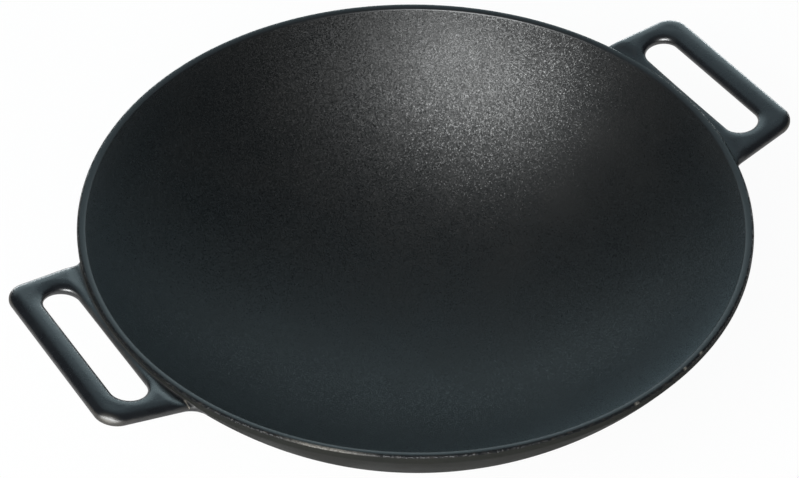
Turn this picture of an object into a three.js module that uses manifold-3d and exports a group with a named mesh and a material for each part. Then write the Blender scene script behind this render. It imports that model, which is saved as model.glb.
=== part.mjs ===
// Cast iron wok: a round-bottomed bowl on a flat foot, with two tilted loop handles.
// Millimetres and degrees, +Z up. The origin is the middle of the foot's flat underside.
import * as THREE from "three";
import { mergeVertices } from "three/addons/utils/BufferGeometryUtils.js";
import Module from "manifold-3d";

// Bowl
const RIM_RADIUS = 180; // outer edge of the rim
const RIM_LAND = 4; // top of the rim, from its outer edge to the bowl's mouth
const RIM_BAND = 3.8; // upright outer face below the rim's top
const RIM_ROUND = 1.5; // round on the rim's outer edge
const MOUTH_ROUND = 0.8; // smaller round on the rim's inner edge
const BOWL_DEPTH = 102.5; // rim's top to the inside of the floor
const FLOOR = 6; // iron in the middle of the floor

// Foot
const FOOT_RADIUS = 62; // edge of the flat that stands on the hob
const FOOT_DROP = 2.5; // flat below the bowl's lowest point
const FOOT_DRAFT = 25; // lean of the foot's wall, for drawing it from the sand
const FOOT_ROUND = 1.5; // round on the foot's lower edge

// Handles
const HANDLE_TILT = 9.3; // rise of the loop towards the grip
const HANDLE_DROP = 3.1; // loop's middle plane below the rim's top, at the rim's edge
const HANDLE_THICK = 7.5; // through the loop
const HANDLE_TAPER = 5.8; // lean of each arm's outer side towards the middle
const HANDLE_CORNER = 11; // plan radius of the two outer corners
const HANDLE_CROWN = 5.5; // how far each edge's round runs in over the loop's faces
const SLOT_LENGTH = 90.6; // finger slot, end to end
const SLOT_WIDTH = 19.4; // finger slot, from web to grip
const WEB_WIDTH = 2.9; // rim's edge to the slot
const GRIP_WIDTH = 14.5; // bar that the fingers close on
const ARM_WIDTH = 13.5; // each arm beside the slot
const ROOT_FILLET = 4; // plan radius where an arm runs into the rim

// Upright share of a handle's edge, between its two rounds
const FLAT_SHARE = 0.08;

// Clearance left between two pieces that meet on a curved face
const CAST_GAP = 0.3;

// Smoothness of the facets
const ROUND_SEGMENTS = 84; // round the bowl
const BOWL_STEPS = 14; // up each side of the bowl's wall
const FOOT_STEPS = 6; // across the foot's dished top
const EDGE_STEPS = 3; // on a small round
const CROWN_STEPS = 4; // from a handle's edge to its face
const CORNER_STEPS = 7; // on a handle's corner or slot end

const radians = THREE.MathUtils.degToRad;
const rimHeight = FOOT_DROP + FLOOR + BOWL_DEPTH;
const slotMiddle = WEB_WIDTH + SLOT_WIDTH / 2;
const handleReach = WEB_WIDTH + SLOT_WIDTH + GRIP_WIDTH;

// A round is never wider than the metal it is cut in.
const rimRound = Math.min(RIM_ROUND, RIM_LAND / 2, RIM_BAND);
const mouthRound = Math.min(MOUTH_ROUND, RIM_LAND / 3);
const crown = Math.min(HANDLE_CROWN, 0.45 * GRIP_WIDTH, 0.45 * ARM_WIDTH);

const wasm = await Module();
wasm.setup();

// The sphere that meets the axis at height low and passes through a rim point.
function bowlSphere(rimRadius, rimZ, low) {
  const rise = rimZ - low;
  const radius = (rimRadius ** 2 + rise ** 2) / (2 * rise);
  return { radius, z: low + radius };
}

const inside = bowlSphere(RIM_RADIUS - RIM_LAND, rimHeight, FOOT_DROP + FLOOR);
const outside = bowlSphere(RIM_RADIUS, rimHeight - RIM_BAND, FOOT_DROP);

// Points along an arc in a profile, both ends included.
function arc(x, y, radius, from, to, steps) {
  return Array.from({ length: steps + 1 }, (_, i) => {
    const angle = from + ((to - from) * i) / steps;
    return new THREE.Vector2(x + radius * Math.cos(angle), y + radius * Math.sin(angle));
  });
}

// A profile of (radius, height) points turned round the Z axis.
function turned(profile) {
  return new THREE.LatheGeometry(profile, ROUND_SEGMENTS).rotateX(Math.PI / 2);
}

// A closed three.js geometry as a solid that can be cut.
function solidOf(geometry) {
  const bare = geometry.clone();
  bare.deleteAttribute("normal");
  bare.deleteAttribute("uv");
  const merged = mergeVertices(bare);
  const vertProperties = new Float32Array(merged.attributes.position.array);
  const triVerts = new Uint32Array(merged.index.array);
  return new wasm.Manifold(new wasm.Mesh({ numProp: 3, vertProperties, triVerts }));
}

function geometryOf(solid) {
  const mesh = solid.getMesh();
  const geometry = new THREE.BufferGeometry();
  geometry.setAttribute("position", new THREE.BufferAttribute(mesh.vertProperties, 3));
  geometry.setIndex(new THREE.BufferAttribute(mesh.triVerts, 1));
  const faceted = geometry.toNonIndexed();
  faceted.computeVertexNormals();
  return faceted;
}

// Bowl: the outer sphere, an upright band, the rim's rounded top, and the inner sphere.
function bowlGeometry() {
  const mouthZ = rimHeight - mouthRound;
  // The mouth's round touches the rim's top from below and the inner sphere from outside.
  const mouthX = Math.sqrt((inside.radius + mouthRound) ** 2 - (mouthZ - inside.z) ** 2);
  const mouthAngle = Math.atan2(mouthZ - inside.z, mouthX);
  const bandAngle = Math.atan2(rimHeight - RIM_BAND - outside.z, RIM_RADIUS);
  const up = Math.PI / 2;
  const profile = [
    ...arc(0, outside.z, outside.radius, -up, bandAngle, BOWL_STEPS),
    ...arc(RIM_RADIUS - rimRound, rimHeight - rimRound, rimRound, 0, up, EDGE_STEPS),
    ...arc(mouthX, mouthZ, mouthRound, up, Math.PI + mouthAngle, EDGE_STEPS),
    ...arc(0, inside.z, inside.radius, mouthAngle, -up, BOWL_STEPS).slice(1),
  ];
  profile[0].x = 0;
  profile.at(-1).x = 0;
  return turned(profile);
}

// What the bowl fills and encloses, grown by the clearance: the cutter for what meets its outer wall.
function bowlEnvelope() {
  const radius = RIM_RADIUS + CAST_GAP;
  const wall = outside.radius + CAST_GAP;
  const top = rimHeight + handleReach;
  const edge = Math.atan2(rimHeight - RIM_BAND - outside.z, RIM_RADIUS);
  const profile = [
    ...arc(0, outside.z, wall, -Math.PI / 2, edge, BOWL_STEPS),
    new THREE.Vector2(radius, rimHeight - RIM_BAND),
    new THREE.Vector2(radius, top),
    new THREE.Vector2(0, top),
  ];
  profile[0].x = 0;
  return turned(profile);
}

// Foot: dished on top to sit under the bowl, flat below, with a drafted wall.
function footGeometry() {
  const seat = outside.radius + CAST_GAP;
  const draft = radians(FOOT_DRAFT);
  const lean = Math.tan(draft);
  // The wall leans out from the flat's edge until it meets the seat: heights are from the seat's centre.
  const start = FOOT_RADIUS + outside.z * lean;
  const slope = 1 + lean ** 2;
  const wallZ = -(start * lean + Math.sqrt(slope * seat ** 2 - start ** 2)) / slope;
  const edgeAngle = Math.atan2(wallZ, start + wallZ * lean);
  // The lower round touches the flat and the wall.
  const down = -Math.PI / 2;
  const roundX = FOOT_RADIUS - FOOT_ROUND * Math.tan((Math.PI / 2 - draft) / 2);
  const profile = [
    new THREE.Vector2(0, 0),
    ...arc(roundX, FOOT_ROUND, FOOT_ROUND, down, -draft, EDGE_STEPS),
    ...arc(0, outside.z, seat, edgeAngle, down, FOOT_STEPS),
  ];
  profile.at(-1).x = 0;
  return turned(profile);
}

// Handle: a loop in its own plane. Its x runs out from the rim's edge.
function handleOutline() {
  const taper = radians(HANDLE_TAPER);
  const lean = Math.tan(taper);
  const half = SLOT_LENGTH / 2 + ARM_WIDTH + slotMiddle * lean;
  const armAngle = Math.PI / 2 - taper;
  const cornerX = handleReach - HANDLE_CORNER;
  const cornerY = half - cornerX * lean - HANDLE_CORNER / Math.cos(taper);
  // The root fillet touches the arm's outer side and the rim's circle.
  const away = half + ROOT_FILLET / Math.cos(taper);
  const slope = 1 + lean ** 2;
  const b = RIM_RADIUS - away * lean;
  const c = RIM_RADIUS ** 2 + away ** 2 - (RIM_RADIUS + ROOT_FILLET) ** 2;
  const rootX = (Math.sqrt(b ** 2 - slope * c) - b) / slope;
  const rootY = away - rootX * lean;
  const rimAngle = Math.atan2(-rootY, -(rootX + RIM_RADIUS));
  const side = [
    ...arc(rootX, rootY, ROOT_FILLET, rimAngle, armAngle - Math.PI, EDGE_STEPS),
    ...arc(cornerX, cornerY, HANDLE_CORNER, armAngle, 0, CORNER_STEPS),
  ];
  // The arm runs on into the bowl, where its end is cut to the wall.
  side.unshift(new THREE.Vector2(rootX - 3 * HANDLE_THICK, side[0].y));
  const otherSide = side.map((point) => new THREE.Vector2(point.x, -point.y)).reverse();
  return new THREE.Shape([...side, ...otherSide]);
}

function slotOutline() {
  const radius = SLOT_WIDTH / 2;
  const end = SLOT_LENGTH / 2 - radius;
  return new THREE.Path([
    ...arc(slotMiddle, end, radius, 0, Math.PI, 2 * CORNER_STEPS),
    ...arc(slotMiddle, -end, radius, Math.PI, 2 * Math.PI, 2 * CORNER_STEPS),
  ]);
}

// The loop before it is cut: both faces are crowned, so that a bar's section is nearly an ellipse.
function handleBlank() {
  const outline = handleOutline();
  outline.holes.push(slotOutline());
  const depth = FLAT_SHARE * HANDLE_THICK;
  return new THREE.ExtrudeGeometry(outline, {
    depth,
    bevelEnabled: true,
    bevelThickness: (HANDLE_THICK - depth) / 2,
    bevelSize: crown,
    bevelOffset: -crown,
    bevelSegments: CROWN_STEPS,
  }).translate(0, 0, -depth / 2);
}

// Places a handle's own frame on the rim, on the +X side or turned half round to the -X side.
function handleFrame(turn) {
  const side = new THREE.Group();
  side.rotation.z = turn;
  const loop = new THREE.Group();
  loop.position.set(RIM_RADIUS, 0, rimHeight - HANDLE_DROP);
  loop.rotation.y = -radians(HANDLE_TILT);
  side.add(loop);
  return { side, loop };
}

function handleGeometry() {
  const { side, loop } = handleFrame(0);
  side.updateMatrixWorld(true);
  const cutter = bowlEnvelope().applyMatrix4(loop.matrixWorld.clone().invert());
  return geometryOf(solidOf(handleBlank()).subtract(solidOf(cutter)));
}

const interiorIron = new THREE.MeshStandardMaterial({ color: "#23282b", roughness: 0.55, metalness: 0.2 });
const handleIron = new THREE.MeshStandardMaterial({ color: "#272d32", roughness: 0.42, metalness: 0.2 });
const footIron = new THREE.MeshStandardMaterial({ color: "#26292a", roughness: 0.62, metalness: 0.3 });

function piece(name, geometry, material) {
  const mesh = new THREE.Mesh(geometry, material);
  mesh.name = name;
  return mesh;
}

const wok = new THREE.Group();
wok.add(piece("bowl", bowlGeometry(), interiorIron));
wok.add(piece("foot", footGeometry(), footIron));

const loopGeometry = handleGeometry();
for (const [name, turn] of [["right_handle", 0], ["left_handle", Math.PI]]) {
  const { side, loop } = handleFrame(turn);
  loop.add(piece(name, loopGeometry, handleIron));
  wok.add(side);
}

export default wok;
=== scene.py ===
# %% [markdown]
# A cast iron wok: a round-bottomed bowl, a loop handle on each side and a flat foot, poured as one casting.
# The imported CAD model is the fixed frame. Each piece here is a finer skin over one CAD node: the facets of
# the CAD bowl become a smooth turned shell, and the handles get the soft edges and roots that a casting has.

import math

import bpy
import numpy as np
from mathutils import Matrix, Quaternion, Vector


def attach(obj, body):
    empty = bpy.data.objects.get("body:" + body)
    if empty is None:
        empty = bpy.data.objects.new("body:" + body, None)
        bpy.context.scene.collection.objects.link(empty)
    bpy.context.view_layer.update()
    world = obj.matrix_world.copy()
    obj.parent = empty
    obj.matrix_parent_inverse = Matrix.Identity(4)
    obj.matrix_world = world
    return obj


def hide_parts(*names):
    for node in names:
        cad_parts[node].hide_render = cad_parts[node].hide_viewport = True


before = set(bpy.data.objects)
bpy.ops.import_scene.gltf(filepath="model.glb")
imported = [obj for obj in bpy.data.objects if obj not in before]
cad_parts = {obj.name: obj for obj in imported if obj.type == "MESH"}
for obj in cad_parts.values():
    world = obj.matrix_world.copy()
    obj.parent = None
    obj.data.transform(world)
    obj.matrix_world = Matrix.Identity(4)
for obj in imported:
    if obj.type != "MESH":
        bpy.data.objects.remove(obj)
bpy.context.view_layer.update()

# %% [markdown]
# The camera comes first, because every look is judged through it. Its place was worked out from the
# picture: a circle of known size, the rim, is seen as an ellipse, and the ellipse's shape gives the height
# of the lens. A long lens from above gives this flat, product-shot perspective. The sensor is 36 mm wide, so
# the lens length follows from the focal length in pixels.

# %% Camera
MM = 0.001
IMAGE_WIDTH = 799
FOCAL_PIXELS = 2465.05
RIM_RADIUS = 180.0
RIM_HEIGHT = 111.0
CAMERA_DISTANCE = 7.3106 * RIM_RADIUS
CAMERA_ANGLES = (41.83, -33.542, 0.41)
# The lens aims beside the rim's middle, to the right and up by these shares of the distance
AIM_RIGHT, AIM_UP = -0.006324, -0.012803

elevation, azimuth, roll = (math.radians(angle) for angle in CAMERA_ANGLES)
level = math.cos(elevation)
away = Vector((math.sin(azimuth) * level, -math.cos(azimuth) * level, math.sin(elevation)))
side = -away.cross(Vector((0, 0, 1))).normalized()
aim = (-away + AIM_RIGHT * side + AIM_UP * side.cross(-away)).normalized()
side = aim.cross(Vector((0, 0, 1))).normalized()
above = side.cross(aim)

lens = bpy.data.cameras.new("camera")
lens.sensor_width = 36
lens.lens = lens.sensor_width * FOCAL_PIXELS / IMAGE_WIDTH
camera = bpy.data.objects.new("camera", lens)
bpy.context.scene.collection.objects.link(camera)
axes = (
    math.cos(roll) * side + math.sin(roll) * above,
    math.cos(roll) * above - math.sin(roll) * side,
    -aim,
)
placing = Matrix(axes).transposed().to_4x4()
placing.translation = MM * (Vector((0, 0, RIM_HEIGHT)) + CAMERA_DISTANCE * away)
camera.matrix_world = placing
bpy.context.scene.camera = camera
print("lens", round(lens.lens, 1), "mm, camera at", [round(x, 3) for x in placing.translation])

# %% [markdown]
# Two small helpers serve the whole file. One writes a colour as a painter would, in hex, and turns it into
# the linear numbers that Blender's shaders mix. The other adds a node with its settings and links in one
# line, so that a tree reads like a recipe.

# %% Helpers
def tone(code):
    shares = [int(code[i : i + 2], 16) / 255 for i in (1, 3, 5)]
    return (*[x / 12.92 if x <= 0.04045 else ((x + 0.055) / 1.055) ** 2.4 for x in shares], 1.0)


def add(tree, kind, links=None, **settings):
    node = tree.nodes.new(kind)
    for name, value in settings.items():
        setattr(node, name, value)
    for socket, source in (links or {}).items():
        if isinstance(source, bpy.types.Node):
            source = source.outputs[0]
        if isinstance(source, bpy.types.NodeSocket):
            tree.links.new(source, node.inputs[socket])
        else:
            node.inputs[socket].default_value = source
    return node


print("a mid grey is", [round(x, 3) for x in tone("#808080")])

# %% [markdown]
# A seasoned casting is black iron under a baked skin of oil. The skin is what the eye sees: very dark, with
# a soft shine like satin paint. A photograph of iron would be the usual texture; noise at the right
# millimetres does it with no picture and works from every side. The finishes share three recipes: an empty
# material, the small leaning facets that sand grains leave, and the rings that a lathe leaves.

# %% Recipes for iron
def new_material(name):
    made = bpy.data.materials.new(name)
    made.use_nodes = True
    tree = made.node_tree
    tree.nodes.clear()
    shader = add(tree, "ShaderNodeBsdfPrincipled")
    add(tree, "ShaderNodeOutputMaterial", {"Surface": shader})
    return made, tree, shader, add(tree, "ShaderNodeTexCoord").outputs["Object"]


def grain_facets(tree, shader, place, size, lean, face):
    """Leans the face of each grain its own way, and gives the grain's three random shares."""
    grains = add(tree, "ShaderNodeTexVoronoi", {"Vector": place, "Scale": 1 / size})
    middle = {0: grains.outputs["Color"], 1: (0.5, 0.5, 0.5)}
    tip = add(tree, "ShaderNodeVectorMath", middle, operation="SUBTRACT")
    facet = add(tree, "ShaderNodeVectorMath", {0: tip, 1: (lean,) * 3, 2: face}, operation="MULTIPLY_ADD")
    even = add(tree, "ShaderNodeVectorMath", {0: facet}, operation="NORMALIZE")
    tree.links.new(even.outputs[0], shader.inputs["Normal"])
    return add(tree, "ShaderNodeSeparateColor", {0: grains.outputs["Color"]}).outputs


def turned_rings(tree, place, spacing):
    """Gives the distance from the bowl's axis, and a wave along it."""
    flat = add(tree, "ShaderNodeVectorMath", {0: place, 1: (1, 1, 0)}, operation="MULTIPLY")
    reach = add(tree, "ShaderNodeVectorMath", {0: flat}, operation="LENGTH").outputs["Value"]
    turn = add(tree, "ShaderNodeMath", {0: reach, 1: 2 * math.pi / spacing}, operation="MULTIPLY")
    return reach, add(tree, "ShaderNodeMath", {0: turn}, operation="COSINE")


print("recipes:", [recipe.__name__ for recipe in (new_material, grain_facets, turned_rings)])

# %% [markdown]
# Inside the bowl the iron keeps the pebbled face of the sand mould, which breaks the shine into fine sparks.
# A bump map would blur grains as fine as this to an even grey. So each grain gets one flat facet that leans
# its own way, and each one catches the light or misses it.

# %% Pebbled iron
# Sand grains are 0.2 to 0.4 mm across, less than a pixel here, so they are drawn at the coarse end
GRAIN = 0.4 * MM


def pebbled_iron():
    made, tree, shader, place = new_material("seasoned_iron_pebbled")
    # Faint rings, 14 mm apart, are left where the middle of the bowl was turned
    reach, ring = turned_rings(tree, place, 14 * MM)
    fade = add(tree, "ShaderNodeMapRange", {0: reach, 1: 12 * MM, 2: 38 * MM, 3: 0.5, 4: 0.0})
    dents = add(tree, "ShaderNodeTexNoise", {"Vector": place, "Scale": 1 / (2.6 * MM), "Detail": 2.0})
    height = add(tree, "ShaderNodeMath", {0: ring, 1: fade, 2: dents}, operation="MULTIPLY_ADD")
    bump = add(tree, "ShaderNodeBump", {"Height": height, "Strength": 1.0, "Distance": 0.05 * MM})
    share = grain_facets(tree, shader, place, GRAIN, lean=0.3, face=bump)
    # Some grains are glassy with oil and some are dull, and the coat of oil lies in slow clouds
    clouds = add(tree, "ShaderNodeTexNoise", {"Vector": place, "Scale": 1 / (34 * MM), "Detail": 3.0})
    dull = add(tree, "ShaderNodeMapRange", {0: clouds, 1: 0.3, 2: 0.7, 3: 0.22, 4: 0.28})
    gloss = add(tree, "ShaderNodeMath", {0: share["Green"], 1: 0.37, 2: dull}, operation="MULTIPLY_ADD")
    tree.links.new(gloss.outputs[0], shader.inputs["Roughness"])
    oil = add(tree, "ShaderNodeMix", {0: clouds, 6: tone("#0d1012"), 7: tone("#11100e")}, data_type="RGBA")
    colour = {0: share["Blue"], 6: tone("#050607"), 7: oil.outputs["Result"]}
    shade = add(tree, "ShaderNodeMix", colour, data_type="RGBA")
    tree.links.new(shade.outputs["Result"], shader.inputs["Base Color"])
    # Dried oil leaves a haze, which shows where the wall is seen at a slant
    shader.inputs["Sheen Weight"].default_value = 0.07
    shader.inputs["Sheen Tint"].default_value = tone("#bcdcea")
    return made


interior = pebbled_iron()
print("inside:", interior.name, "with grains of", round(GRAIN / MM, 2), "mm")

# %% [markdown]
# The rim was dressed smooth and takes the best of the seasoning, so it draws a clean line of light. Its outer
# shoulder is left as it was cast. Lids and shelves knock it, so small patches of brown iron show all round.
# Noise makes those. Three bare chips are set one by one, because such wear is never even. A long lighter
# stretch at the front is a painted highlight, laid where the key light glints on the shoulder.

# %% Rim and shoulder
def rim_iron():
    made, tree, shader, place = new_material("seasoned_iron_dressed_rim")
    grit = add(tree, "ShaderNodeTexNoise", {"Vector": place, "Scale": 1 / (1.4 * MM), "Detail": 3.0})
    colour = add(tree, "ShaderNodeMix", {0: grit, 6: tone("#111315"), 7: tone("#151719")}, data_type="RGBA")
    tree.links.new(colour.outputs["Result"], shader.inputs["Base Color"])
    dull = add(tree, "ShaderNodeMapRange", {0: grit, 1: 0.3, 2: 0.7, 3: 0.31, 4: 0.4})
    tree.links.new(dull.outputs[0], shader.inputs["Roughness"])
    bump = add(tree, "ShaderNodeBump", {"Height": grit, "Strength": 1.0, "Distance": 0.012 * MM})
    tree.links.new(bump.outputs[0], shader.inputs["Normal"])
    shader.inputs["Specular IOR Level"].default_value = 0.6
    return made


# A painted highlight on a long stretch at the front, and three bare chips, each with its reach in mm
PAINTED_GLINT_AND_CHIPS = [
    ((-131.0, -123.0, 110.3), 26.0),
    ((13.5, -179.0, 110.3), 1.9),
    ((48.0, -172.5, 110.8), 1.6),
    ((61.5, -168.2, 110.8), 1.6),
]


def shoulder_iron():
    made, tree, shader, place = new_material("seasoned_iron_worn_shoulder_painted_glint")
    # The mould's grains, drawn coarser on this narrow band, break its shine into specks
    face = add(tree, "ShaderNodeNewGeometry").outputs["Normal"]
    share = grain_facets(tree, shader, place, 1.5 * GRAIN, lean=0.45, face=face)
    spots = {"Vector": place, "Scale": 1 / (2.4 * MM), "Detail": 4.0, "Roughness": 0.7}
    chips = add(tree, "ShaderNodeTexNoise", spots)
    patch = add(tree, "ShaderNodeMapRange", {0: chips, 1: 0.5, 2: 0.75})
    knocks = add(tree, "ShaderNodeTexVoronoi", {"Vector": place, "Scale": 1 / (7 * MM)})
    knock = add(tree, "ShaderNodeMapRange", {0: knocks, 1: 0.09, 2: 0.14, 3: 1.0, 4: 0.0})
    worn = add(tree, "ShaderNodeMath", {0: patch, 1: knock}, operation="MAXIMUM")
    brown = add(tree, "ShaderNodeMix", {0: worn, 6: tone("#121416"), 7: tone("#2c2926")}, data_type="RGBA")
    # The first spot is a painted highlight: its light colour stands where the key light glints on the front
    # shoulder. The other three are bare chips.
    bare = 0.0
    for spot, size in PAINTED_GLINT_AND_CHIPS:
        gap = {0: place, 1: [MM * x for x in spot]}
        apart = add(tree, "ShaderNodeVectorMath", gap, operation="DISTANCE").outputs["Value"]
        fade = {0: apart, 1: 0.3 * size * MM, 2: size * MM, 3: 1.0, 4: 0.0}
        near = add(tree, "ShaderNodeMapRange", fade)
        bare = add(tree, "ShaderNodeMath", {0: bare, 1: near}, operation="MAXIMUM")
    # Grain specks break up both the painted highlight and the chips
    flecks = add(tree, "ShaderNodeMapRange", {0: share["Red"], 3: 0.25, 4: 1.0})
    rubbed = add(tree, "ShaderNodeMath", {0: bare, 1: flecks}, operation="MULTIPLY")
    # This light grey is painted highlight on the front stretch, and bare iron on the three chips
    bright = {0: rubbed, 6: brown.outputs["Result"], 7: tone("#6b6862")}
    shade = add(tree, "ShaderNodeMix", bright, data_type="RGBA")
    tree.links.new(shade.outputs["Result"], shader.inputs["Base Color"])
    dull = add(tree, "ShaderNodeMapRange", {0: chips, 1: 0.3, 2: 0.7, 3: 0.32, 4: 0.42})
    tree.links.new(dull.outputs[0], shader.inputs["Roughness"])
    shader.inputs["Specular IOR Level"].default_value = 0.25
    return made


rim, shoulder = rim_iron(), shoulder_iron()
print("edge:", rim.name, "and", shoulder.name, "with", len(PAINTED_GLINT_AND_CHIPS), "glint and chip spots")

# %% [markdown]
# Outside, the skin of the sand mould is left as it came, and smoke and burnt oil make it matt and brownish.
# Sand and pits are a bump, because the wall shines too little for single facets to show.

# %% Sand-cast wall
def wall_iron():
    made, tree, shader, place = new_material("seasoned_iron_sand_cast")
    sand = add(tree, "ShaderNodeTexNoise", {"Vector": place, "Scale": 1 / (0.9 * MM), "Detail": 3.0})
    pits = add(tree, "ShaderNodeTexVoronoi", {"Vector": place, "Scale": 1 / (2.2 * MM)})
    height = add(tree, "ShaderNodeMath", {0: pits, 1: 0.6, 2: sand}, operation="MULTIPLY_ADD")
    bump = add(tree, "ShaderNodeBump", {"Height": height, "Strength": 1.0, "Distance": 0.12 * MM})
    tree.links.new(bump.outputs[0], shader.inputs["Normal"])
    smoke = add(tree, "ShaderNodeTexNoise", {"Vector": place, "Scale": 1 / (26 * MM), "Detail": 4.0})
    colour = {0: smoke, 6: tone("#1f2120"), 7: tone("#2c2c29")}
    shade = add(tree, "ShaderNodeMix", colour, data_type="RGBA")
    tree.links.new(shade.outputs["Result"], shader.inputs["Base Color"])
    dull = add(tree, "ShaderNodeMapRange", {0: smoke, 1: 0.3, 2: 0.7, 3: 0.5, 4: 0.66})
    tree.links.new(dull.outputs[0], shader.inputs["Roughness"])
    shader.inputs["Specular IOR Level"].default_value = 0.02
    return made


wall = wall_iron()
print("outside:", wall.name)

# %% [markdown]
# Handles are dressed smoother than the wall, and hands polish their edges to a brownish shine. The wear
# follows the shape, so the mesh carries it as two marks: how bare a point is rubbed, where 2 is a fresh
# scratch, and how dull it is.

# %% Rubbed handles
def handle_iron():
    made, tree, shader, place = new_material("seasoned_iron_rubbed")
    sand = add(tree, "ShaderNodeTexNoise", {"Vector": place, "Scale": 1 / (1.8 * MM), "Detail": 3.0})
    bump = add(tree, "ShaderNodeBump", {"Height": sand, "Strength": 1.0, "Distance": 0.05 * MM})
    tree.links.new(bump.outputs[0], shader.inputs["Normal"])
    rubbed = add(tree, "ShaderNodeAttribute", attribute_name="rubbed").outputs["Fac"]
    clouds = add(tree, "ShaderNodeTexNoise", {"Vector": place, "Scale": 1 / (9 * MM), "Detail": 4.0})
    patch = add(tree, "ShaderNodeMapRange", {0: clouds, 1: 0.35, 2: 0.6, 3: 0.3, 4: 1.0})
    bare = add(tree, "ShaderNodeMath", {0: rubbed, 1: patch}, operation="MULTIPLY", use_clamp=True)
    colour = add(tree, "ShaderNodeMix", {0: bare, 6: tone("#131518"), 7: tone("#5c5851")}, data_type="RGBA")
    fresh = add(tree, "ShaderNodeMapRange", {0: rubbed, 1: 1.0, 2: 2.0})
    bright = {0: fresh, 6: colour.outputs["Result"], 7: tone("#b3ada4")}
    shade = add(tree, "ShaderNodeMix", bright, data_type="RGBA")
    tree.links.new(shade.outputs["Result"], shader.inputs["Base Color"])
    metal = add(tree, "ShaderNodeMath", {0: bare, 1: 0.7}, operation="MULTIPLY")
    tree.links.new(metal.outputs[0], shader.inputs["Metallic"])
    dull = add(tree, "ShaderNodeMapRange", {0: clouds, 1: 0.3, 2: 0.7, 3: 0.24, 4: 0.32})
    edge = add(tree, "ShaderNodeAttribute", attribute_name="edge").outputs["Fac"]
    rough = add(tree, "ShaderNodeMath", {0: edge, 1: 0.3, 2: dull}, operation="MULTIPLY_ADD")
    tree.links.new(rough.outputs[0], shader.inputs["Roughness"])
    shader.inputs["Specular IOR Level"].default_value = 0.8
    return made


grip = handle_iron()
print("handles:", grip.name)

# %% [markdown]
# The underside was faced on a lathe, so it has fine rings where the rest has sand. The tool's feed is
# 0.3 mm a turn; its marks are drawn at 0.9 mm so that they show.

# %% Turned foot
def foot_iron():
    made, tree, shader, place = new_material("seasoned_iron_turned")
    ring = turned_rings(tree, place, 0.9 * MM)[1]
    sand = add(tree, "ShaderNodeTexNoise", {"Vector": place, "Scale": 1 / (1.5 * MM), "Detail": 3.0})
    height = add(tree, "ShaderNodeMath", {0: ring, 1: 0.35, 2: sand}, operation="MULTIPLY_ADD")
    bump = add(tree, "ShaderNodeBump", {"Height": height, "Strength": 1.0, "Distance": 0.05 * MM})
    tree.links.new(bump.outputs[0], shader.inputs["Normal"])
    smoke = add(tree, "ShaderNodeTexNoise", {"Vector": place, "Scale": 1 / (18 * MM), "Detail": 4.0})
    colour = {0: smoke, 6: tone("#161616"), 7: tone("#2b2621")}
    shade = add(tree, "ShaderNodeMix", colour, data_type="RGBA")
    tree.links.new(shade.outputs["Result"], shader.inputs["Base Color"])
    dull = add(tree, "ShaderNodeMapRange", {0: smoke, 1: 0.3, 2: 0.7, 3: 0.42, 4: 0.6})
    tree.links.new(dull.outputs[0], shader.inputs["Roughness"])
    shader.inputs["Specular IOR Level"].default_value = 0.3
    return made


base = foot_iron()
print("foot:", base.name)

# %% [markdown]
# The bowl is a solid of revolution, so one rule makes all of it: draw half the section and turn it round the
# axis. The section is a row of arcs (outer sphere, shoulder, crest, mouth, inner sphere), and Geometry Nodes
# turns each arc into a strip. One group does the turning: it bends a flat grid so that its width runs round
# the axis and its height runs along the arc. A straight stretch is an arc of no radius whose centre travels.

# %% A strip turned round the axis
def new_tree(name, inputs):
    tree = bpy.data.node_groups.new(name, "GeometryNodeTree")
    tree.interface.new_socket("Geometry", in_out="OUTPUT", socket_type="NodeSocketGeometry")
    for label, kind in inputs.items():
        tree.interface.new_socket(label, in_out="INPUT", socket_type="NodeSocket" + kind)
    return tree, add(tree, "NodeGroupInput").outputs


STRIP_SIZES = ["Start Radius", "Start Height", "End Radius", "End Height", "Bend", "From Angle", "To Angle"]


def strip_tree():
    inputs = dict.fromkeys(STRIP_SIZES, "Float")
    inputs |= {"Steps": "Int", "Segments": "Int", "Finish": "Material"}
    tree, size = new_tree("turned_strip", inputs)
    across = add(tree, "ShaderNodeMath", {0: size["Segments"], 1: 1}, operation="ADD")
    along = add(tree, "ShaderNodeMath", {0: size["Steps"], 1: 1}, operation="ADD")
    sheet = {"Size X": 1.0, "Size Y": 1.0, "Vertices X": across, "Vertices Y": along}
    grid = add(tree, "GeometryNodeMeshGrid", sheet)
    spot = add(tree, "ShaderNodeSeparateXYZ", {0: add(tree, "GeometryNodeInputPosition")})
    turn = add(tree, "ShaderNodeMath", {0: spot.outputs["X"], 1: 2 * math.pi}, operation="MULTIPLY")
    share = add(tree, "ShaderNodeMath", {0: spot.outputs["Y"], 1: 0.5}, operation="ADD")
    angle = add(tree, "ShaderNodeMix", {0: share, 2: size["From Angle"], 3: size["To Angle"]})
    section = []
    for way, wave in (("Radius", "COSINE"), ("Height", "SINE")):
        centre = add(tree, "ShaderNodeMix", {0: share, 2: size["Start " + way], 3: size["End " + way]})
        swing = add(tree, "ShaderNodeMath", {0: angle}, operation=wave)
        bow = {0: swing, 1: size["Bend"], 2: centre}
        section.append(add(tree, "ShaderNodeMath", bow, operation="MULTIPLY_ADD"))
    radius, height = section
    round_about = []
    for wave in ("COSINE", "SINE"):
        swing = add(tree, "ShaderNodeMath", {0: turn}, operation=wave)
        round_about.append(add(tree, "ShaderNodeMath", {0: radius, 1: swing}, operation="MULTIPLY"))
    where = add(tree, "ShaderNodeCombineXYZ", {"X": round_about[0], "Y": round_about[1], "Z": height})
    bent = add(tree, "GeometryNodeSetPosition", {"Geometry": grid, "Position": where})
    done = add(tree, "GeometryNodeSetMaterial", {"Geometry": bent, "Material": size["Finish"]})
    add(tree, "NodeGroupOutput", {0: done})
    return tree


turned_strip = strip_tree()
print("turned_strip has", len(turned_strip.nodes), "nodes")

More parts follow.
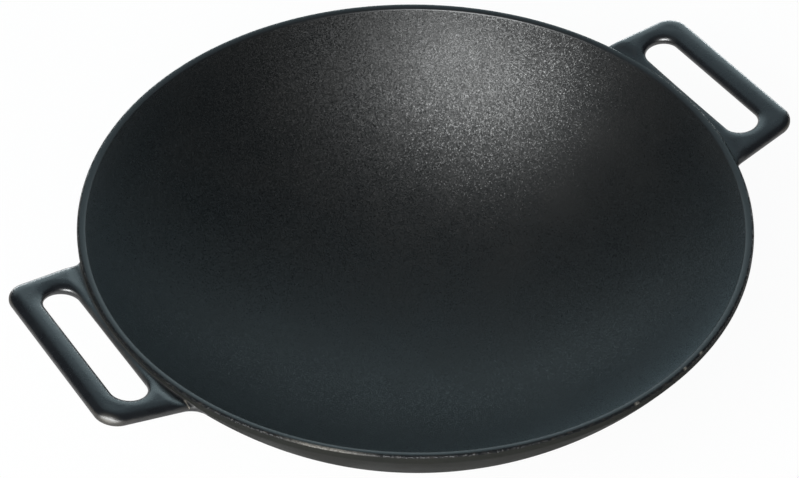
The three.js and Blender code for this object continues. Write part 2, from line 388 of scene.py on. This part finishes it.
# %% [markdown]
# The strips of one section share their edges, so Merge by Distance can weld them into one closed shell. A
# slow noise then moves the skin along its normal by about a tenth of a millimetre: no casting is perfectly
# true, and the small wander is what keeps a long highlight on the rim from looking drawn with a ruler.

# %% Turning a whole section
SEGMENTS = 320
WELD = 0.004 * MM
# The noise seldom rises above this, so the skin moves inwards and stays inside the CAD box
NOISE_TOP = 0.65


def turned_tree(name, section):
    tree, size = new_tree(name, {"Wander": "Float", "Wander Scale": "Float", "Segments": "Int"})
    join = add(tree, "GeometryNodeJoinGeometry")
    for sizes, steps, finish in section:
        strip = add(tree, "GeometryNodeGroup", node_tree=turned_strip)
        for label, value in zip(STRIP_SIZES, sizes):
            strip.inputs[label].default_value = value if "Angle" in label else value * MM
        strip.inputs["Steps"].default_value = steps
        strip.inputs["Finish"].default_value = finish
        tree.links.new(size["Segments"], strip.inputs["Segments"])
        tree.links.new(strip.outputs[0], join.inputs[0])
    weld = add(tree, "GeometryNodeMergeByDistance", {"Geometry": join, "Distance": WELD})
    noise = add(tree, "ShaderNodeTexNoise", {"Scale": size["Wander Scale"], "Detail": 1.0})
    inwards = add(tree, "ShaderNodeMath", {0: noise, 1: NOISE_TOP}, operation="SUBTRACT")
    swell = add(tree, "ShaderNodeMath", {0: inwards, 1: size["Wander"]}, operation="MULTIPLY")
    face = add(tree, "GeometryNodeInputNormal")
    way = add(tree, "ShaderNodeVectorMath", {0: face, 3: swell}, operation="SCALE")
    moved = add(tree, "GeometryNodeSetPosition", {"Geometry": weld, "Offset": way})
    smooth = add(tree, "GeometryNodeSetShadeSmooth", {"Geometry": moved})
    real = add(tree, "GeometryNodeRealizeInstances", {"Geometry": smooth})
    add(tree, "NodeGroupOutput", {0: real})
    return tree


def plain_piece(name, tree, **sizes):
    """Runs a tree once and keeps the result as a plain mesh at the origin."""
    maker = bpy.data.objects.new(name + "_maker", bpy.data.meshes.new(name + "_maker"))
    bpy.context.scene.collection.objects.link(maker)
    nodes = maker.modifiers.new("turn", "NODES")
    nodes.node_group = tree
    for item in tree.interface.items_tree:
        if item.in_out == "INPUT" and item.name in sizes:
            nodes[item.identifier] = sizes[item.name]
    made = maker.evaluated_get(bpy.context.evaluated_depsgraph_get())
    mesh = bpy.data.meshes.new_from_object(made)
    mesh.name = name
    mesh.materials.pop(index=0)
    bpy.data.objects.remove(maker)
    piece = bpy.data.objects.new(name, mesh)
    bpy.context.scene.collection.objects.link(piece)
    return piece


print("a section is turned in", SEGMENTS, "steps")

# %% [markdown]
# The bowl's iron lies between two spheres, and is 6 mm thick at the floor and 4 mm at the rim. The rim is
# crowned: a wide round runs from the crest inwards, then a tight one into the bowl. A profile drawn point by
# point would do, but each round touches the next, so the arcs are worked out from a few sizes in mm.

# %% Bowl
# Land, band and floor are the CAD bowl's, and the rounds are softer than its own
RIM_LAND, RIM_BAND, FLOOR, FOOT_DROP = 4.0, 3.8, 6.0, 2.5
MOUTH_ROUND, CREST_ROUND, CREST_TURN = 1.8, 5.5, math.radians(28)


def sphere_through(radius, height, low):
    rise = height - low
    ball = (radius**2 + rise**2) / (2 * rise)
    return ball, low + ball


inner_ball, inner_middle = sphere_through(RIM_RADIUS - RIM_LAND, RIM_HEIGHT, FOOT_DROP + FLOOR)
outer_ball, outer_middle = sphere_through(RIM_RADIUS, RIM_HEIGHT - RIM_BAND, FOOT_DROP)
crest_z = RIM_HEIGHT - CREST_ROUND
mouth_z = crest_z + (CREST_ROUND - MOUTH_ROUND) * math.cos(CREST_TURN)
mouth_r = math.sqrt((inner_ball + MOUTH_ROUND) ** 2 - (mouth_z - inner_middle) ** 2)
mouth_angle = math.atan2(mouth_z - inner_middle, mouth_r)
crest_r = mouth_r + (CREST_ROUND - MOUTH_ROUND) * math.sin(CREST_TURN)
band_angle = math.atan2(RIM_HEIGHT - RIM_BAND - outer_middle, RIM_RADIUS)
# A tight round on the outside takes what is left, and meets the wide one at the crest
RIM_ROUND = RIM_RADIUS - crest_r
round_z = RIM_HEIGHT - RIM_ROUND
UP, DOWN, SHOULDER = math.pi / 2, -math.pi / 2, math.radians(26)


def arc(radius, height, bend, start, end):
    return (radius, height, radius, height, bend, start, end)


def line(start, end):
    return (*start, *end, 0.0, 0.0, 0.0)


bowl_section = [
    (arc(0, outer_middle, outer_ball, DOWN, band_angle), 70, wall),
    (line((RIM_RADIUS, RIM_HEIGHT - RIM_BAND), (RIM_RADIUS, round_z)), 3, wall),
    (arc(crest_r, round_z, RIM_ROUND, 0, SHOULDER), 3, wall),
    (arc(crest_r, round_z, RIM_ROUND, SHOULDER, UP), 6, shoulder),
    (arc(crest_r, crest_z, CREST_ROUND, UP, UP + CREST_TURN), 8, rim),
    (arc(mouth_r, mouth_z, MOUTH_ROUND, UP + CREST_TURN, math.pi + mouth_angle), 6, rim),
    (arc(0, inner_middle, inner_ball, mouth_angle, DOWN), 90, interior),
]
wandering = {"Wander": 0.15 * MM, "Wander Scale": 1 / (45 * MM), "Segments": SEGMENTS}
bowl = plain_piece("bowl_skin", turned_tree("turned_bowl", bowl_section), **wandering)
print("bowl:", len(bowl.data.polygons), "faces in", [m.name for m in bowl.data.materials])

# %% [markdown]
# A handle is a crowned loop that grows out of the wall with a soft root. Boxes and bevels make such a root
# hard to model, so the loop is written as a field instead: a number for every point in space that is below
# zero inside the iron. A smooth minimum of the loop's field and the wall's field gives the root its fillet,
# as poured metal does.

# %% The field of a handle
HANDLE_TILT = math.radians(9.3)
HANDLE_DROP, HANDLE_THICK, HANDLE_FLAT, HANDLE_CROWN = 3.1, 7.5, 0.6, 7.0
HANDLE_TAPER, HANDLE_CORNER = math.radians(5.8), 11.0
SLOT_LENGTH, SLOT_WIDTH, WEB_WIDTH, GRIP_WIDTH, ARM_WIDTH = 90.6, 19.4, 2.9, 14.5, 13.5
# A hair off the loop keeps it inside the CAD box, and the fillet runs out just under the bowl's skin
TRIM, SUNK = 0.06, 0.3
ROOT_DIP, ROOT_RAMP = 2.2, 9.0
# The fillet is wide under the handle and narrow beside the rim
FILLET_HEIGHTS, FILLET_REACHES = (RIM_HEIGHT - 6, RIM_HEIGHT - 2), (6.0, 1.2)
# Inside the bowl's iron the root ends as a block, where this share of the fillet has run out
FILLET_SHARE, BLOCK_DEPTH, BLOCK_ROUND = 0.83, 2.0, 2.0
TINY = 1e-9
slot_middle = WEB_WIDTH + SLOT_WIDTH / 2
handle_reach = WEB_WIDTH + SLOT_WIDTH + GRIP_WIDTH
arm_half = SLOT_LENGTH / 2 + ARM_WIDTH + slot_middle * math.tan(HANDLE_TAPER)


def round_corner(first, second, radius):
    """Distance from a rounded corner, with both sides measured from the round's centre."""
    sides = np.stack([first, second])
    return np.hypot(*np.maximum(sides, 0)) + np.minimum(sides.max(0), 0) - radius


def wall_field(p):
    """Distance from the bowl's outer wall and rim, outside positive."""
    reach = np.hypot(p[:, 0], p[:, 1])
    ball = np.hypot(reach, p[:, 2] - outer_middle) - outer_ball
    return np.maximum(ball, round_corner(reach - crest_r, p[:, 2] - round_z, RIM_ROUND))


def loop_field(p):
    """Distance from the crowned loop, close to true near its surface."""
    out, up = p[:, 0] - RIM_RADIUS, p[:, 2] - (RIM_HEIGHT - HANDLE_DROP)
    x = out * math.cos(HANDLE_TILT) + up * math.sin(HANDLE_TILT)
    z = up * math.cos(HANDLE_TILT) - out * math.sin(HANDLE_TILT)
    y = np.abs(p[:, 1])
    # Depth inside the outline, whose two far corners are rounded, and inside the slot's edge
    far = x - handle_reach + HANDLE_CORNER
    arm = (y - arm_half + x * math.tan(HANDLE_TAPER)) * math.cos(HANDLE_TAPER) + HANDLE_CORNER
    outline = round_corner(far, arm, HANDLE_CORNER)
    ends = np.maximum(y - (SLOT_LENGTH - SLOT_WIDTH) / 2, 0)
    slot = SLOT_WIDTH / 2 - np.hypot(x - slot_middle, ends)
    depth = -np.maximum(outline, slot)
    # The top dips towards the root, so that the rim stands free of it
    near = np.clip(1 - (np.hypot(p[:, 0], p[:, 1]) - RIM_RADIUS) / ROOT_RAMP, 0, 1)
    dip = ROOT_DIP * near**2 * (3 - 2 * near)
    z = np.where(z > 0, z * HANDLE_THICK / (HANDLE_THICK - 2 * dip), z)
    # A quarter ellipse from the edge to the face
    rise = (HANDLE_THICK - HANDLE_FLAT) / 2
    bend = np.maximum(np.stack([HANDLE_CROWN - depth, np.abs(z) - HANDLE_FLAT / 2]), 0) + TINY
    full = np.hypot(bend[0] / HANDLE_CROWN, bend[1] / rise)
    slope = np.hypot(bend[0] / HANDLE_CROWN**2, bend[1] / rise**2)
    return full * (full - 1) / slope + TRIM


def soft_join(first, second, reach):
    near = np.clip(0.5 + 0.5 * (second - first) / reach, 0, 1)
    return second + (first - second) * near - reach * near * (1 - near)


def handle_field(p):
    wall_gap, loop_gap = wall_field(p), loop_field(p)
    fillet = np.interp(p[:, 2], FILLET_HEIGHTS, FILLET_REACHES)
    grown = soft_join(loop_gap, wall_gap + SUNK, fillet)
    block = soft_join(BLOCK_DEPTH + wall_gap, FILLET_SHARE * fillet - loop_gap, BLOCK_ROUND)
    return np.maximum(grown, -block)


print("a handle reaches", handle_reach, "mm out and is", round(2 * arm_half, 1), "mm wide at its root")

# %% [markdown]
# To see a field as a surface, the space is cut into small cubes. Each cube that the surface passes through
# gets one point, and each grid edge that it crosses gets a face between the four cubes around it. This is
# called surface nets. A few steps along the field's slope then settle every point on the true surface.

# %% Surface nets
NET_LOW, NET_HIGH, NET_STEP = (160, -72, 92), (219, 72, 119), 0.62
SETTLE_STEPS, PROBE, LEAST_SLOPE = 3, 0.05, 0.05


def settle(points, field, step):
    for _ in range(SETTLE_STEPS):
        value = field(points)
        change = [field(points + o) - field(points - o) for o in PROBE * np.eye(3)]
        slope = np.stack(change, 1) / (2 * PROBE)
        move = slope * (value / np.maximum((slope**2).sum(1), LEAST_SLOPE))[:, None]
        points = points - np.clip(move, -0.5 * step, 0.5 * step)
    return points


def net_surface(field, low, high, step):
    lines = [np.arange(a, b, step) for a, b in zip(low, high)]
    grid = np.stack(np.meshgrid(*lines, indexing="ij"), -1)
    shape = np.array(grid.shape[:3])
    value = field(grid.reshape(-1, 3)).reshape(shape)
    total = np.zeros((*(shape - 1), 3))
    count = np.zeros(shape - 1)
    crossings = []
    for axis in range(3):
        others = [a for a in range(3) if a != axis]
        first = np.take(value, range(shape[axis] - 1), axis)
        second = np.take(value, range(1, shape[axis]), axis)
        crossed = (first < 0) != (second < 0)
        share = np.where(crossed, first / np.where(crossed, first - second, 1), 0)
        spot = np.take(grid, range(shape[axis] - 1), axis).copy()
        spot[..., axis] += share * step
        for i in (0, 1):
            for j in (0, 1):
                window = [slice(None)] * 3
                window[others[0]] = slice(i, shape[others[0]] - 1 + i)
                window[others[1]] = slice(j, shape[others[1]] - 1 + j)
                window = tuple(window)
                total += np.where(crossed[window][..., None], spot[window], 0)
                count += crossed[window]
        crossings.append((axis, others, np.argwhere(crossed), first[crossed] < 0))
    number = np.cumsum(count.ravel() > 0).reshape(count.shape) - 1
    points = settle(total[count > 0] / count[count > 0][:, None], field, step)
    faces = []
    for axis, others, where, inside_first in crossings:
        keep = (where[:, others] > 0).all(1) & (where[:, others] < shape[others] - 1).all(1)
        where, inside_first = where[keep], inside_first[keep]
        ring = []
        for i, j in ((1, 1), (0, 1), (0, 0), (1, 0)):
            cell = where.copy()
            cell[:, others[0]] -= i
            cell[:, others[1]] -= j
            ring.append(number[tuple(cell.T)])
        quad = np.stack(ring, 1)
        flip = inside_first == (axis == 1)
        quad[flip] = quad[flip][:, ::-1]
        faces.append(quad)
    return points, np.concatenate(faces)


loop_points, loop_faces = net_surface(handle_field, NET_LOW, NET_HIGH, NET_STEP)
print("a handle:", len(loop_faces), "faces, top at", round(loop_points[:, 2].max(), 2), "mm")

# %% [markdown]
# Hands rub a handle most where it bends most, and the field's second differences give the bend at each
# point. So the wear can be worked out from the shape, and goes into the mesh as marks for the finish. The
# left handle is the right one turned half round. Its near corner was knocked a little flat, and one fresh
# scratch crosses its root. Marks like these are set one by one, and keep the two handles from being twins.

# %% Handles
NUDGE, FLAT_BEND, BEND_SPAN = 1.0, 0.2, 0.35
# The corner beside the wall keeps its grit, so the root is as dull as a rubbed edge
GRIT_REACH, GRIT_FADE = 1.1, 0.3
# The far corners are worn bare, and the other edges much less
WORN_OUT, WORN_ASIDE, WORN_REACH, WORN_SHARE = 27, 47, (6, 14), (1.0, 0.15)
KNOCK_AT, KNOCK_WAY = np.array([-211.3, -52.8, 115.1]), np.array([-0.43, -0.51, 0.745])
KNOCK_DEPTH, KNOCK_SOFT, KNOCK_SHOWS, KNOCK_BARE = 0.05, 0.7, 0.1, 0.3
SCRATCH_FROM, SCRATCH_TO = np.array([-171.9, -55.8, 108.2]), np.array([-172.2, -61.0, 107.2])
SCRATCH_HALF, SCRATCH_FRESH = 0.6, 2


def mesh_piece(name, points, faces, finish, marks):
    mesh = bpy.data.meshes.new(name)
    mesh.from_pydata((points * MM).tolist(), [], faces.tolist())
    mesh.polygons.foreach_set("use_smooth", np.ones(len(mesh.polygons), bool))
    mesh.materials.append(finish)
    for mark, value in marks.items():
        data = mesh.attributes.new(mark, "FLOAT", "POINT").data
        data.foreach_set("value", value.astype(np.float32))
    piece = bpy.data.objects.new(name, mesh)
    bpy.context.scene.collection.objects.link(piece)
    return piece


around = [handle_field(loop_points + o) + handle_field(loop_points - o) for o in NUDGE * np.eye(3)]
sharp = np.clip((sum(around) / NUDGE**2 - FLAT_BEND) / BEND_SPAN, 0, 1)
gritty = np.clip((GRIT_REACH - wall_field(loop_points)) / GRIT_FADE, 0, 1)
edge = np.maximum(sharp, gritty)
corner = np.hypot(loop_points[:, 0] - RIM_RADIUS - WORN_OUT, np.abs(loop_points[:, 1]) - WORN_ASIDE)
rubbed = edge * np.interp(corner, WORN_REACH, WORN_SHARE)
marks = {"rubbed": rubbed, "edge": edge}
right_handle = mesh_piece("right_handle_loop", loop_points, loop_faces, grip, marks)

left_points = loop_points * (-1, -1, 1)
proud = (left_points - KNOCK_AT) @ KNOCK_WAY + KNOCK_DEPTH
press = (proud + np.hypot(proud, KNOCK_SOFT)) / 2
left_points = left_points - press[:, None] * KNOCK_WAY
run = SCRATCH_TO - SCRATCH_FROM
share = np.clip((left_points - SCRATCH_FROM) @ run / (run @ run), 0, 1)
apart = np.linalg.norm(left_points - SCRATCH_FROM - share[:, None] * run, axis=1)
worn = np.maximum(rubbed, np.clip(press - KNOCK_SHOWS, 0, KNOCK_BARE))
worn = np.maximum(worn, SCRATCH_FRESH * np.clip(2 - 2 * apart / SCRATCH_HALF, 0, 1))
marks = {"rubbed": worn, "edge": edge}
left_handle = mesh_piece("left_handle_loop", left_points, loop_faces, grip, marks)
print("knocked by", round(press.max(), 2), "mm, scratch on", int((apart < SCRATCH_HALF).sum()), "points")

# %% [markdown]
# The foot is a low pad under the bowl, drafted so that the pattern draws from the sand, then turned flat on
# a lathe so that it stands still on a hob. It is made as the bowl was, from arcs turned round the axis. A
# concave arc carries its wall into the bowl, and its hidden top lies just inside the bowl's iron.

# %% Foot
FOOT_RADIUS, FOOT_DRAFT, FOOT_ROUND, FOOT_FILLET = 62.0, math.radians(25), 1.5, 3.0
FOOT_SUNK = 1.0
wall_way = np.array([math.sin(FOOT_DRAFT), math.cos(FOOT_DRAFT)])
wall_out = np.array([math.cos(FOOT_DRAFT), -math.sin(FOOT_DRAFT)])
# The fillet's centre runs beside the wall until it is one fillet radius from the outer ball
start = np.array([FOOT_RADIUS, 0.0]) + FOOT_FILLET * wall_out - np.array([0, outer_middle])
gone = start @ wall_way
along = -gone - math.sqrt(gone**2 - start @ start + (outer_ball + FOOT_FILLET) ** 2)
fillet = start + along * wall_way + np.array([0, outer_middle])
touch_angle = math.atan2(fillet[1] - outer_middle, fillet[0])
touch_way = np.array([math.cos(touch_angle), math.sin(touch_angle)])
touch = touch_way * outer_ball + (0, outer_middle)
wall_top = fillet - FOOT_FILLET * wall_out
round_middle = FOOT_RADIUS - FOOT_ROUND * math.tan((UP - FOOT_DRAFT) / 2)
wall_foot = np.array([round_middle, FOOT_ROUND]) + FOOT_ROUND * wall_out
sunk_ball = outer_ball - FOOT_SUNK
foot_section = [
    (line((0, 0), (round_middle, 0)), 30, base),
    (arc(round_middle, FOOT_ROUND, FOOT_ROUND, DOWN, -FOOT_DRAFT), 6, base),
    (line(wall_foot, wall_top), 5, base),
    (arc(*fillet, FOOT_FILLET, math.pi - FOOT_DRAFT, math.pi + touch_angle), 6, base),
    (line(touch, touch_way * sunk_ball + (0, outer_middle)), 1, base),
    (arc(0, outer_middle, sunk_ball, touch_angle, DOWN), 20, base),
]
foot = plain_piece("foot_pad", turned_tree("turned_foot", foot_section), Segments=SEGMENTS)
print("foot:", len(foot.data.polygons), "faces, fillet meets the bowl at", [round(x, 1) for x in touch])

# %% [markdown]
# Each new piece rides on the one body, and the CAD node that it stands for is hidden.

# %% Riding on the frame
for piece, node, slot in (
    (bowl, "bowl", "bowl_iron"),
    (foot, "foot", "foot_iron"),
    (left_handle, "left_handle", "handle_iron"),
    (right_handle, "right_handle", "handle_iron"),
):
    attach(piece, "root")
    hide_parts(node)

# %% [markdown]
# Black satin shows little but what it mirrors, so the lights matter more than the colour. A large soft box
# to the left of the lens is the key, and the far wall of the bowl turns it into a broad glow. A wider, dimmer
# box round it gives the glow a soft edge, as the cloth of a real soft box does. Two cool panels close behind
# are what the near half, the rim and the handles mirror, and a low strip lights the back of the wall. A
# light's radiance is its power divided by its area and pi, so a box can change its size and keep its
# brightness.

# %% Lights
# Metres above the floor of the point that every box faces
LIT_HEIGHT = 0.08


def soft_box(name, azimuth, elevation, distance, width, height, radiance, colour, roll=0):
    lamp = bpy.data.lights.new(name, "AREA")
    lamp.shape = "RECTANGLE"
    lamp.size, lamp.size_y = width, height
    lamp.energy = radiance * math.pi * width * height
    lamp.color = tone(colour)[:3]
    box = bpy.data.objects.new(name, lamp)
    bpy.context.scene.collection.objects.link(box)
    a, e = math.radians(azimuth), math.radians(elevation)
    way = Vector((math.cos(a) * math.cos(e), math.sin(a) * math.cos(e), math.sin(e)))
    box.location = way * distance + Vector((0, 0, LIT_HEIGHT))
    box.rotation_mode = "QUATERNION"
    box.rotation_quaternion = way.to_track_quat("Z", "Y") @ Quaternion((0, 0, 1), math.radians(roll))
    box.visible_camera = False
    return box


soft_box("key", -142, 38.5, 2.0, 1.36, 0.72, 16.2, "#fdffff", -14)
soft_box("key_spill", -143.5, 39, 2.05, 2.3, 1.15, 2.5, "#fdffff", -14)
soft_box("back", 57, 17.5, 0.76, 1.22, 0.56, 1.36, "#d4eef6")
soft_box("top", 50, 53, 0.8, 0.8, 0.5, 0.5, "#c4e2ee")
soft_box("low", 57, -1.2, 1.0, 1.8, 0.1, 7.0, "#f2f8fb")

# %% [markdown]
# The wok stands on pale paper in a dark room. Both turn to full white only for rays that come from the lens
# or off a shiny face, so the picture gets its white ground, and the iron mirrors it but is not lit by it.
# What is mirrored is white up to 4 degrees above the horizon, where the paper would curve up behind.

# %% Room and floor
# Heights of a ray's direction between which the mirrored white fades to the dark room
WHITE_BELOW, DARK_ABOVE = 0.03, 0.07
ROOM_GREY, PAPER_GREY, PAPER_LIFT = 0.015, 0.8, 0.95
FLOOR_HALF, FLOOR_GAP = 12.0, 0.0001
WHITE = (1, 1, 1, 1)


def seen_rays(tree):
    path = add(tree, "ShaderNodeLightPath").outputs
    mirrored = {0: path["Is Glossy Ray"], 1: path["Is Transmission Ray"]}
    return path["Is Camera Ray"], add(tree, "ShaderNodeMath", mirrored, operation="MAXIMUM")


world = bpy.data.worlds.new("studio")
bpy.context.scene.world = world
world.use_nodes = True
sky = world.node_tree
sky.nodes.clear()
way = add(sky, "ShaderNodeSeparateXYZ", {0: add(sky, "ShaderNodeTexCoord").outputs["Generated"]})
fade = {0: way.outputs["Z"], 1: WHITE_BELOW, 2: DARK_ABOVE, 3: 1.0, 4: 0.0}
horizon = add(sky, "ShaderNodeMapRange", fade)
direct, mirrored = seen_rays(sky)
band = add(sky, "ShaderNodeMath", {0: mirrored, 1: horizon}, operation="MULTIPLY")
shown = add(sky, "ShaderNodeMath", {0: direct, 1: band}, operation="MAXIMUM")
room = add(sky, "ShaderNodeMix", {0: shown, 6: (*[ROOM_GREY] * 3, 1), 7: WHITE}, data_type="RGBA")
glow = add(sky, "ShaderNodeBackground", {"Color": room.outputs["Result"], "Strength": 1.0})
add(sky, "ShaderNodeOutputWorld", {"Surface": glow})

floor_mesh = bpy.data.meshes.new("floor")
corners = [(x * FLOOR_HALF, y * FLOOR_HALF, -FLOOR_GAP) for x, y in ((-1, -1), (1, -1), (1, 1), (-1, 1))]
floor_mesh.from_pydata(corners, [], [(0, 1, 2, 3)])
floor = bpy.data.objects.new("floor", floor_mesh)
bpy.context.scene.collection.objects.link(floor)
paper = bpy.data.materials.new("white_paper")
paper.use_nodes = True
sheet = paper.node_tree
sheet.nodes.clear()
matt = add(sheet, "ShaderNodeBsdfDiffuse", {"Color": (*[PAPER_GREY] * 3, 1)})
white = add(sheet, "ShaderNodeEmission", {"Color": WHITE, "Strength": 1.0})
direct, mirrored = seen_rays(sheet)
seen = add(sheet, "ShaderNodeMath", {0: direct, 1: mirrored}, operation="MAXIMUM")
lift = add(sheet, "ShaderNodeMath", {0: seen, 1: PAPER_LIFT}, operation="MULTIPLY")
mixed = add(sheet, "ShaderNodeMixShader", {0: lift, 1: matt, 2: white})
add(sheet, "ShaderNodeOutputMaterial", {"Surface": mixed})
floor_mesh.materials.append(paper)
bpy.context.scene.view_settings.view_transform = "Standard"
print("floor:", 2 * FLOOR_HALF, "m wide, in", paper.name)
